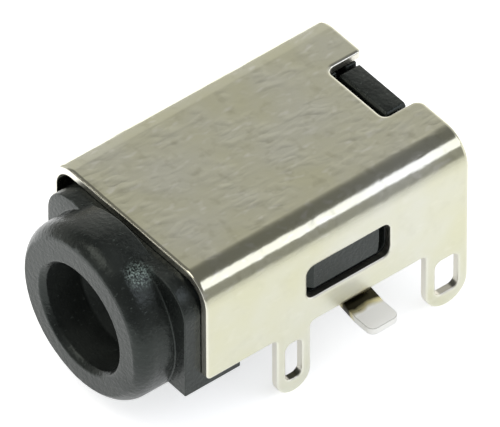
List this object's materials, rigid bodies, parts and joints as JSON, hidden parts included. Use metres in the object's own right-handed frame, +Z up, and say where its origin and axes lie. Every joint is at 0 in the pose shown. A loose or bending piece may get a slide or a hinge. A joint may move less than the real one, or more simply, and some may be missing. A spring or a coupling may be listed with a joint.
{
  "type": "dc barrel jack",
  "caption": "Board-mounted barrel jack with a round moulded nose, a folded metal shell on slotted board tabs, a centre pin and a spring sleeve contact.",
  "frame": {"origin": "on the plug's axis, at the front end of the mouth, where the lead-in ends", "axes": "-Y along the plug's axis and out of the opening, +X to the side the sleeve contact's foot comes out of, +Z up, away from the board"},
  "size_m": [0.007, 0.0106, 0.0052],
  "materials": {
    "housing": "black glass-filled moulding",
    "shell": "satin nickel plate over folded sheet",
    "centre_pin": "bright nickel plate over turned brass",
    "pin_terminal": "plated copper alloy strip",
    "sleeve_contact": "plated copper alloy spring strip",
    "rear_cover": "black moulding"
  },
  "bodies": {
    "root": {"housing": "housing", "shell": "shell", "centre_pin": "centre_pin", "pin_terminal": "pin_terminal", "sleeve_contact": "sleeve_contact", "rear_cover": "rear_cover"}
  },
  "joints": []
}
